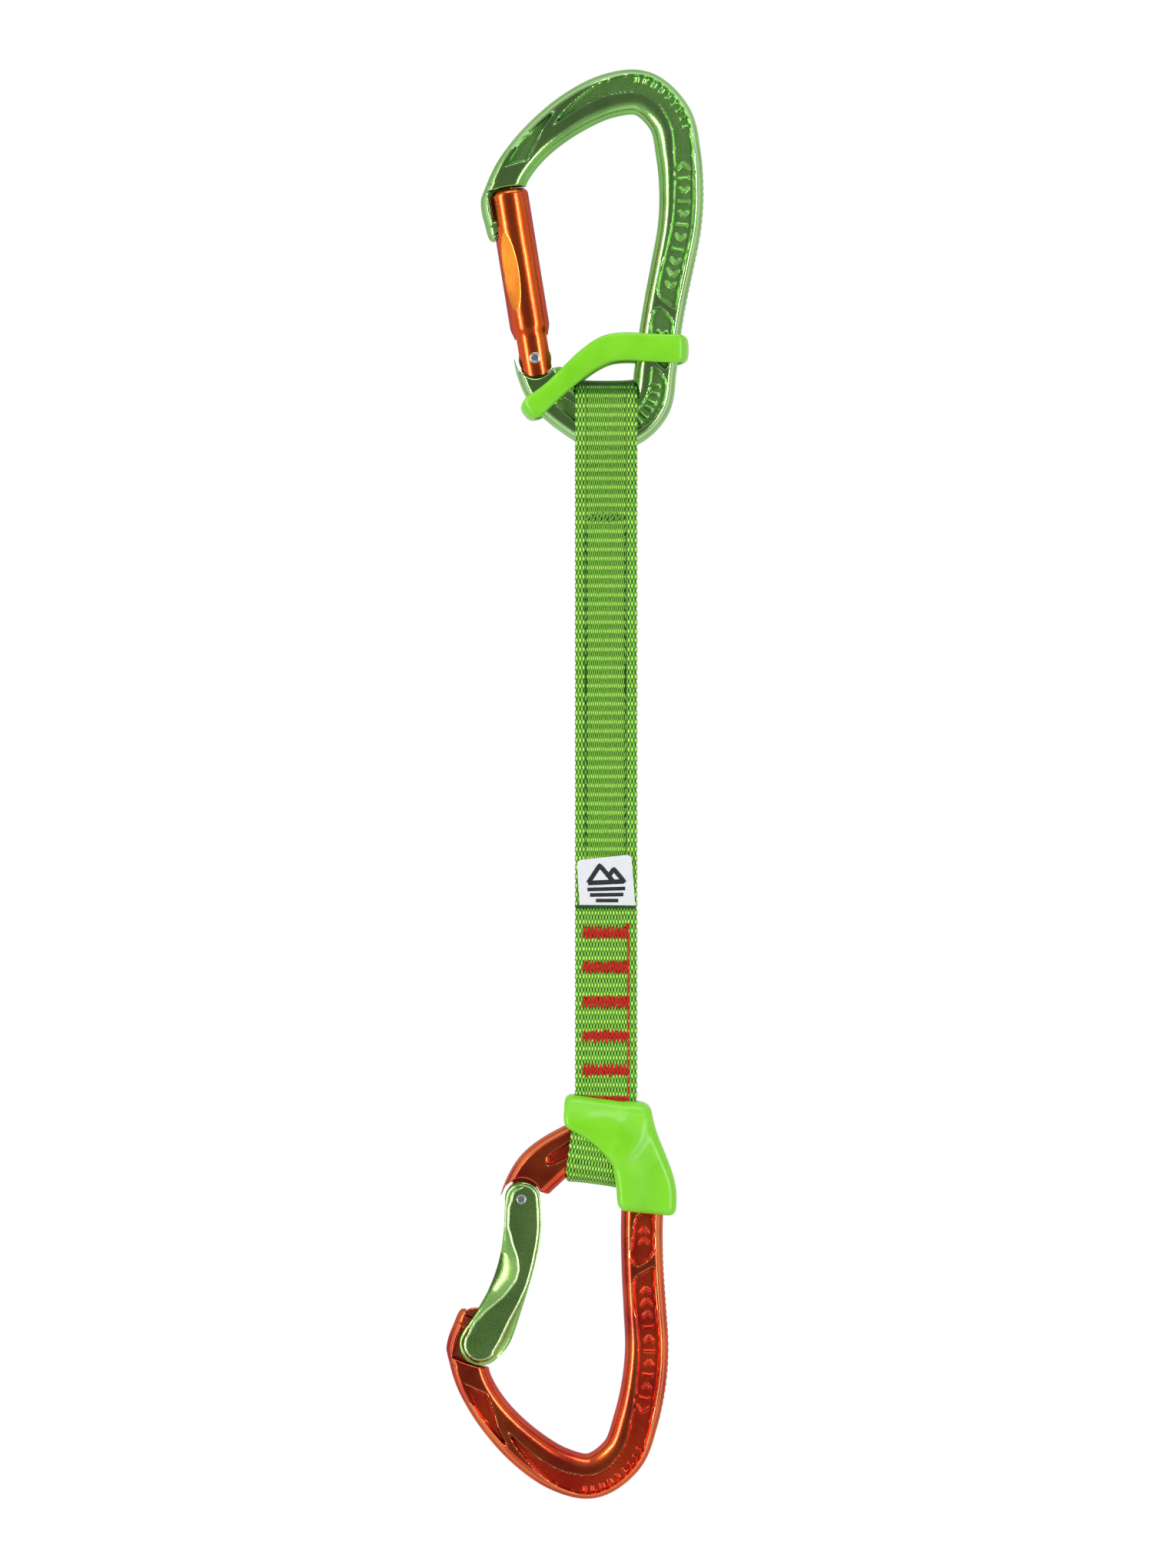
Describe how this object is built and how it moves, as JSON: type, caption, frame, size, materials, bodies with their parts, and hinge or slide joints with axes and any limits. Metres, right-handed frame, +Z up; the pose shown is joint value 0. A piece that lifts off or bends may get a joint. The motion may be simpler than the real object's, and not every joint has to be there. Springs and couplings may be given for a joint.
{
  "type": "climbing quickdraw",
  "caption": "Climbing quickdraw: two key-lock carabiners, one with a straight gate and one with a bent gate, joined by a sewn webbing sling with an elastomer keeper.",
  "frame": {"origin": "seat of the upper basket, where a bolt hanger bears", "axes": "+Z up along the hanging quickdraw, +X from the gates to the spines, -Y toward the front face"},
  "size_m": [0.0672, 0.018, 0.3715],
  "materials": {
    "anodised_green": "green anodised forged aluminium, satin with bright polished rims",
    "anodised_orange": "orange anodised aluminium, satin with bright polished rims",
    "rivet_steel": "bright drawn steel",
    "spring_steel": "bright spring wire",
    "elastomer_green": "smooth semi-gloss moulded elastomer",
    "webbing_green": "ribbed woven polyamide webbing",
    "thread_green": "bonded sewing thread",
    "thread_red": "bonded sewing thread",
    "label_white": "woven label"
  },
  "bodies": {
    "upper_carabiner": {"upper_body": "anodised_green", "upper_retainer": "elastomer_green", "webbing_top_loop": "webbing_green"},
    "upper_gate": {"upper_gate": "anodised_orange", "upper_gate_rivet": "rivet_steel", "upper_gate_spring": "spring_steel"},
    "upper_plunger": {"upper_gate_plunger": "rivet_steel"},
    "strap_upper": {"webbing_strap_upper": "webbing_green", "green_bartack": "thread_green", "side_seam_left_upper": "thread_green", "side_seam_right_upper": "thread_green"},
    "strap_lower": {"webbing_strap_lower": "webbing_green", "side_seam_left_lower": "thread_green", "side_seam_right_lower": "thread_green", "label": "label_white", "label_stitch": "thread_green", "red_bartacks_front": "thread_red", "red_bartacks_back": "thread_red"},
    "lower_carabiner": {"lower_body": "anodised_orange", "lower_keeper": "elastomer_green", "webbing_bottom_loop": "webbing_green"},
    "lower_gate": {"lower_gate": "anodised_green", "lower_gate_rivet": "rivet_steel", "lower_gate_spring": "spring_steel"},
    "lower_plunger": {"lower_gate_plunger": "rivet_steel"}
  },
  "joints": [
    {"name": "upper_gate_hinge", "type": "hinge", "parent": "upper_carabiner", "child": "upper_gate", "pos_m": [-0.0252, 0, -0.0636], "axis": [0, 1, 0], "range_deg": [0, 30], "stiffness_Nm_per_rad": 0.04, "springref_deg": -20.05},
    {"name": "upper_plunger_slide", "type": "slide", "parent": "upper_gate", "child": "upper_plunger", "axis": [-0.1599, 0, 0.9871], "range_m": [0, 0.0022], "deforming": ["upper_gate_spring"]},
    {"name": "sling_swing", "type": "hinge", "parent": "upper_carabiner", "child": "strap_upper", "pos_m": [-0.0067, 0, -0.0818], "axis": [1, 0, 0], "range_deg": [-75, 75], "deforming": ["webbing_top_loop"]},
    {"name": "strap_flex", "type": "hinge", "parent": "strap_upper", "child": "strap_lower", "pos_m": [-0.0067, 0, -0.148], "axis": [1, 0, 0], "range_deg": [-40, 40], "stiffness_Nm_per_rad": 0.02},
    {"name": "lower_carabiner_rock", "type": "hinge", "parent": "strap_lower", "child": "lower_carabiner", "pos_m": [-0.00794, 0, -0.26645], "axis": [0.9907, 0, -0.1357], "range_deg": [-20, 20], "stiffness_Nm_per_rad": 0.03, "deforming": ["webbing_bottom_loop", "lower_keeper"]},
    {"name": "lower_gate_hinge", "type": "hinge", "parent": "lower_carabiner", "child": "lower_gate", "pos_m": [-0.02874, 0, -0.28197], "axis": [0, -1, 0], "range_deg": [0, 30], "stiffness_Nm_per_rad": 0.04, "springref_deg": -20.05},
    {"name": "lower_plunger_slide", "type": "slide", "parent": "lower_gate", "child": "lower_plunger", "axis": [-0.2924, 0, -0.9563], "range_m": [0, 0.0022], "deforming": ["lower_gate_spring"]}
  ],
  "couplings": [
    {"joint": "upper_plunger_slide", "follows": "upper_gate_hinge", "m_per_rad": 0.0037},
    {"joint": "lower_plunger_slide", "follows": "lower_gate_hinge", "m_per_rad": 0.0037}
  ]
}
